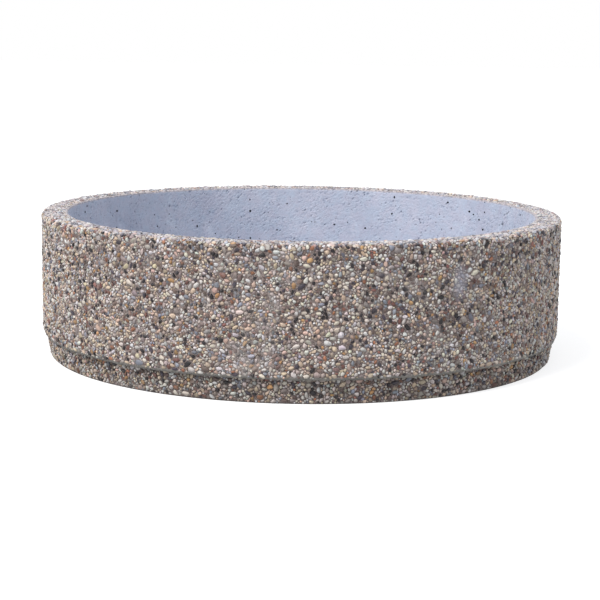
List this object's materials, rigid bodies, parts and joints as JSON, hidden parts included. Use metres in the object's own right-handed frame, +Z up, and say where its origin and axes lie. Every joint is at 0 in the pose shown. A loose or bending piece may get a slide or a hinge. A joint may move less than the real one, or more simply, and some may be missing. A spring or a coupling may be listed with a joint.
{
  "type": "planter",
  "caption": "Round shallow concrete planter: exposed river gravel on wall, rim and recessed plinth, smooth grey bowl inside",
  "frame": {"origin": "centre of the underside, on the axis, at the level that the planter stands on", "axes": "+Z up along the planter's axis; X and Y run through the drains; the picture looks along +Y with +X to the right"},
  "size_m": [1.1998, 1.2, 0.328],
  "materials": {
    "exposed_gravel": "matte",
    "grey_concrete": "matte",
    "reinforcing_steel": "matte",
    "zinc_plated_steel": "satin",
    "sleeve_plastic": "matte"
  },
  "bodies": {
    "root": {"facing": "exposed_gravel", "bowl": "grey_concrete", "hoop_1": "reinforcing_steel", "hoop_2": "reinforcing_steel", "hoop_3": "reinforcing_steel", "hoop_4": "reinforcing_steel", "bent_bar_1": "reinforcing_steel", "bent_bar_2": "reinforcing_steel", "bent_bar_3": "reinforcing_steel", "bent_bar_4": "reinforcing_steel", "bent_bar_5": "reinforcing_steel", "bent_bar_6": "reinforcing_steel", "bent_bar_7": "reinforcing_steel", "bent_bar_8": "reinforcing_steel", "bent_bar_9": "reinforcing_steel", "bent_bar_10": "reinforcing_steel", "bent_bar_11": "reinforcing_steel", "bent_bar_12": "reinforcing_steel", "floor_bar_x_1": "reinforcing_steel", "floor_bar_x_2": "reinforcing_steel", "floor_bar_x_3": "reinforcing_steel", "floor_bar_x_4": "reinforcing_steel", "floor_bar_x_5": "reinforcing_steel", "floor_bar_x_6": "reinforcing_steel", "floor_bar_y_1": "reinforcing_steel", "floor_bar_y_2": "reinforcing_steel", "floor_bar_y_3": "reinforcing_steel", "floor_bar_y_4": "reinforcing_steel", "floor_bar_y_5": "reinforcing_steel", "floor_bar_y_6": "reinforcing_steel", "drain_sleeve_1": "sleeve_plastic", "drain_sleeve_2": "sleeve_plastic", "drain_sleeve_3": "sleeve_plastic", "drain_sleeve_4": "sleeve_plastic", "lifting_socket_1": "zinc_plated_steel", "lifting_socket_2": "zinc_plated_steel", "lifting_socket_3": "zinc_plated_steel", "lifting_socket_4": "zinc_plated_steel", "anchor_plate_1": "zinc_plated_steel", "anchor_plate_2": "zinc_plated_steel", "anchor_plate_3": "zinc_plated_steel", "anchor_plate_4": "zinc_plated_steel"}
  },
  "joints": []
}
